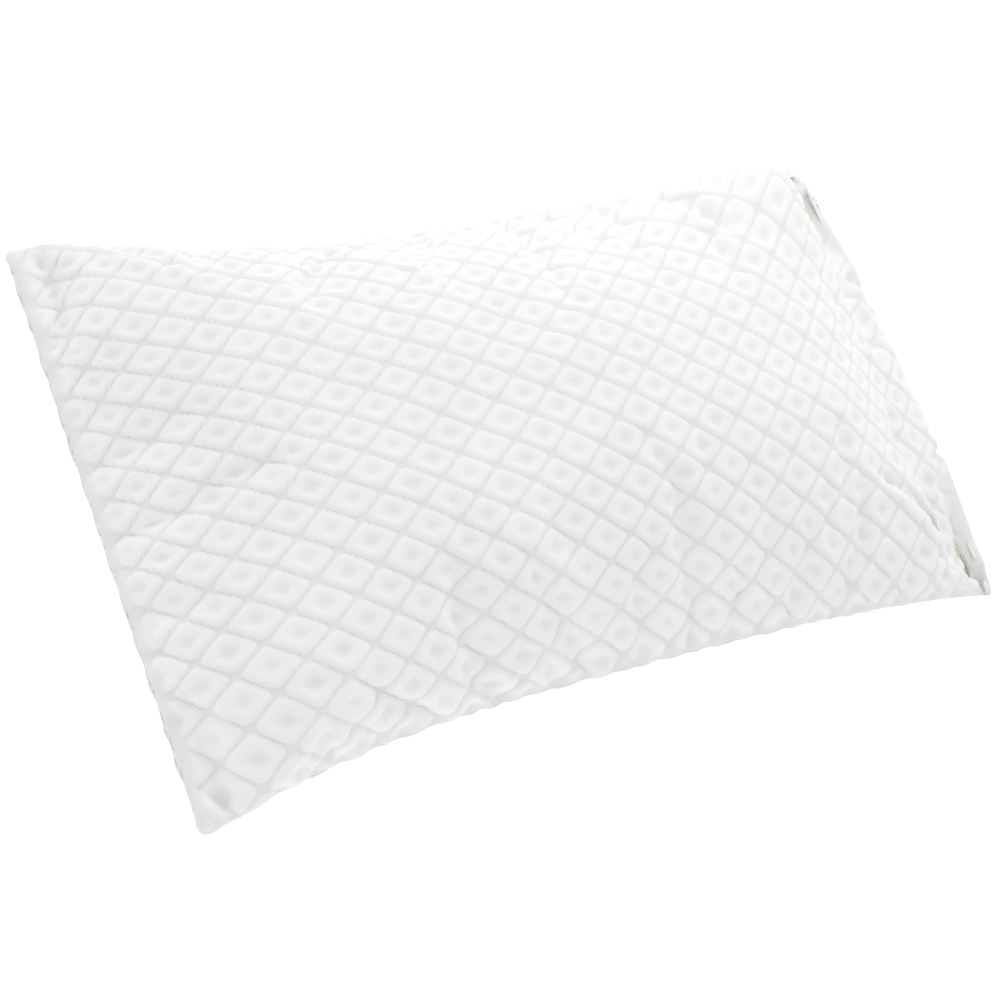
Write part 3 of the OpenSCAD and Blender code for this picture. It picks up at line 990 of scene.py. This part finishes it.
def make_case_stitching(rim):
    """The inner case's sewn edge: a cord with a thread wound round it."""
    closed = np.concatenate([rim, rim[:1]])
    fine = np.linspace(0, len(rim), 5 * len(rim), endpoint=False)
    around = np.stack([np.interp(fine, np.arange(len(rim) + 1), closed[:, k]) for k in range(3)], 1)
    turn = np.arange(len(fine)) * (2 * math.pi / 8)
    around[:, 2] += 0.55 * MM * np.sin(turn)
    cord = sweep(rim, 0.45 * MM, 6, closed=True)
    winding = sweep(around, 0.18 * MM, 5, closed=True)
    return mesh_object("inner_case_stitching", *gather([cord, winding]))


def make_foam(top, bottom):
    """The foam crumbs as one closed body with a surface of small lumps."""
    verts, faces, base = [], [], 0
    for u, v, outer, _, side in layer_pair(top, bottom, FOAM_SCALE, 0.0, 0.0, 90, (190, 106)):
        crumb = 1 - np.abs(value_noise(u, v, 15 * MM, 91 + side)) ** 0.6
        crumb = crumb + 0.5 * (1 - np.abs(value_noise(u + v, u - v, 10 * MM, 94 + side)) ** 0.6)
        crumb = crumb * smooth(edge_distance(u, v) / (16 * MM))
        outer = outer - normals(outer, side) * (2.2 * MM * crumb)[..., None]
        verts.append(outer.reshape(-1, 3))
        faces += grid_faces(outer.shape[0] - 1, outer.shape[1] - 1, base, side < 0)
        base += outer.shape[0] * outer.shape[1]
    shape = bmesh.new()
    foam = mesh_object("foam_crumbs", np.concatenate(verts), faces)
    shape.from_mesh(foam.data)
    bmesh.ops.remove_doubles(shape, verts=shape.verts, dist=1e-6)
    shape.to_mesh(foam.data)
    shape.free()
    return foam


# ---- The pillow put together ------------------------------------------------------------------------

make_camera()
make_light()
make_floor()

top_grid, bottom_grid = simulate_cover()
top_grid = uneven_fill(top_grid, 1)

rims = []
knit, case_cloth, thread = knit_finish(), case_finish(), thread_finish()
metal, tape, coil = metal_finish(), tape_finish(), coil_finish()

for side, grid, name, seed in ((1, top_grid, "cover_top", 20), (-1, bottom_grid, "cover_bottom", 40)):
    u, v, outer, inner, relief = cover_surface(grid, (top_grid + bottom_grid) / 2, side, seed)
    rims.append(rim_line(inner))
    panel = shell_object(name + "_cloth", outer, inner, u, v, relief, side)
    finish_piece(panel, knit, "quilted_knit", name + "_panel")
    finish_piece(make_hem_stitches(name + "_hem_stitches", outer, v, side), thread, "sewing_thread")

finish_piece(make_overlock((rims[0] + rims[1]) / 2), thread, "sewing_thread", "cover_overlock_seam")

for u, v, outer, inner, side in layer_pair(top_grid, bottom_grid, CASE_SCALE, 0.8 * MM, 2.0 * MM, 60):
    name = "inner_case_top" if side > 0 else "inner_case_bottom"
    sheet = shell_object(name + "_cloth", outer, inner, u, v, 0 * u, side, 1)
    finish_piece(sheet, case_cloth, "case_cloth", name)
    if side > 0:
        case_rim = rim_line(outer)
finish_piece(make_case_stitching(case_rim), thread, "sewing_thread", "inner_case_seam")

foam = make_foam(top_grid, bottom_grid)
finish_piece(foam, foam_finish(), "shredded_foam", "foam_fill")

label = finish_piece(make_label(), label_finish(), "label_ribbon", "care_label")

for side, word in ((1, "upper"), (-1, "lower")):
    ribbon = finish_piece(make_tape("woven_tape_" + word, side), tape, "zip_tape", "zip_tape_" + word)
    teeth = make_coil("coil_" + word, side, 0 if side > 0 else math.pi)
    finish_piece(teeth, coil, "zip_coil", "zip_coil_" + word)
    row = make_tape_stitches("tape_stitches_" + word, side)
    finish_piece(row, thread, "sewing_thread", "zip_stitching_" + word)

top_stop_size = (1.8 * MM, 3.0 * MM, 2.5 * MM)
bottom_stop_size = (1.8 * MM, 3.0 * MM, 6.4 * MM)
middle_x = (coil_low.x + coil_high.x) / 2
tops = [Vector((middle_x, STOP_Y, SEAM_Z + k * 2.1 * MM)) for k in (1, -1)]
finish_piece(make_crimp("top_stops", tops, top_stop_size), metal, "zip_metal", "zip_top_stops")
bottoms = [Vector((middle_x, -STOP_Y, SEAM_Z))]
bottom_stop = make_crimp("bottom_stop", bottoms, bottom_stop_size)
finish_piece(bottom_stop, metal, "zip_metal", "zip_bottom_stop")
slider = bevelled_copy("zip_slider", "enamelled_slider", 0.14 * MM)
finish_piece(slider, metal, "zip_metal", "zip_slider", body="slider")
pull = bevelled_copy("zip_pull", "enamelled_pull", 0.14 * MM)
finish_piece(pull, metal, "zip_metal", "zip_pull", body="pull")
